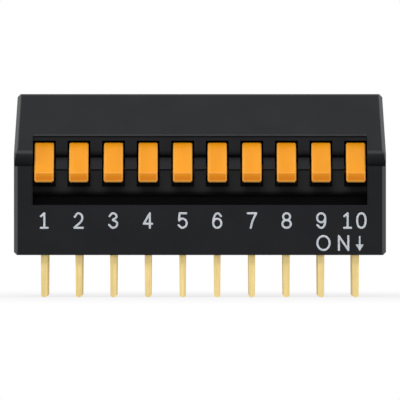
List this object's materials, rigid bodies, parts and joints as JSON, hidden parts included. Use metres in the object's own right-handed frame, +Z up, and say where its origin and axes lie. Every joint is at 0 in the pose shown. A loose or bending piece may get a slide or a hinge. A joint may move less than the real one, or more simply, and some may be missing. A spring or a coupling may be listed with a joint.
{
  "type": "dip switch",
  "caption": "Side-lever DIP switch: a black housing with a row of orange rocking levers in a window under a sloped top, on rows of flat gold-plated pins for a circuit board.",
  "frame": {"origin": "centre of the pin pattern, on the plane of the circuit board that the body sits on", "axes": "+X along the row from the first lever to the last, the front faces -Y, +Z up"},
  "size_m": [0.0272, 0.01, 0.015],
  "materials": {
    "housing": "fine matt moulded black",
    "lever": "satin moulded orange",
    "contact": "gold-plated strip",
    "print": "grey-white printing ink",
    "terminal": "gold-plated pin"
  },
  "bodies": {
    "housing": {"case": "housing", "base": "housing", "front_terminal_01": "terminal", "front_terminal_02": "terminal", "front_terminal_03": "terminal", "front_terminal_04": "terminal", "front_terminal_05": "terminal", "front_terminal_06": "terminal", "front_terminal_07": "terminal", "front_terminal_08": "terminal", "front_terminal_09": "terminal", "front_terminal_10": "terminal", "rear_terminal_01": "terminal", "rear_terminal_02": "terminal", "rear_terminal_03": "terminal", "rear_terminal_04": "terminal", "rear_terminal_05": "terminal", "rear_terminal_06": "terminal", "rear_terminal_07": "terminal", "rear_terminal_08": "terminal", "rear_terminal_09": "terminal", "rear_terminal_10": "terminal"},
    "rocker_01": {"lever_01": "lever", "contact_01": "contact"},
    "rocker_02": {"lever_02": "lever", "contact_02": "contact"},
    "rocker_03": {"lever_03": "lever", "contact_03": "contact"},
    "rocker_04": {"lever_04": "lever", "contact_04": "contact"},
    "rocker_05": {"lever_05": "lever", "contact_05": "contact"},
    "rocker_06": {"lever_06": "lever", "contact_06": "contact"},
    "rocker_07": {"lever_07": "lever", "contact_07": "contact"},
    "rocker_08": {"lever_08": "lever", "contact_08": "contact"},
    "rocker_09": {"lever_09": "lever", "contact_09": "contact"},
    "rocker_10": {"lever_10": "lever", "contact_10": "contact"}
  },
  "joints": [
    {"name": "rocker_01_tilt", "type": "hinge", "parent": "housing", "child": "rocker_01", "pos_m": [-0.01143, 0.0002, 0.0063], "axis": [1, 0, 0], "range_deg": [0, 16]},
    {"name": "rocker_02_tilt", "type": "hinge", "parent": "housing", "child": "rocker_02", "pos_m": [-0.00889, 0.0002, 0.0063], "axis": [1, 0, 0], "range_deg": [0, 16]},
    {"name": "rocker_03_tilt", "type": "hinge", "parent": "housing", "child": "rocker_03", "pos_m": [-0.00635, 0.0002, 0.0063], "axis": [1, 0, 0], "range_deg": [0, 16]},
    {"name": "rocker_04_tilt", "type": "hinge", "parent": "housing", "child": "rocker_04", "pos_m": [-0.00381, 0.0002, 0.0063], "axis": [1, 0, 0], "range_deg": [0, 16]},
    {"name": "rocker_05_tilt", "type": "hinge", "parent": "housing", "child": "rocker_05", "pos_m": [-0.00127, 0.0002, 0.0063], "axis": [1, 0, 0], "range_deg": [0, 16]},
    {"name": "rocker_06_tilt", "type": "hinge", "parent": "housing", "child": "rocker_06", "pos_m": [0.00127, 0.0002, 0.0063], "axis": [1, 0, 0], "range_deg": [0, 16]},
    {"name": "rocker_07_tilt", "type": "hinge", "parent": "housing", "child": "rocker_07", "pos_m": [0.00381, 0.0002, 0.0063], "axis": [1, 0, 0], "range_deg": [0, 16]},
    {"name": "rocker_08_tilt", "type": "hinge", "parent": "housing", "child": "rocker_08", "pos_m": [0.00635, 0.0002, 0.0063], "axis": [1, 0, 0], "range_deg": [0, 16]},
    {"name": "rocker_09_tilt", "type": "hinge", "parent": "housing", "child": "rocker_09", "pos_m": [0.00889, 0.0002, 0.0063], "axis": [1, 0, 0], "range_deg": [0, 16]},
    {"name": "rocker_10_tilt", "type": "hinge", "parent": "housing", "child": "rocker_10", "pos_m": [0.01143, 0.0002, 0.0063], "axis": [1, 0, 0], "range_deg": [0, 16]}
  ]
}
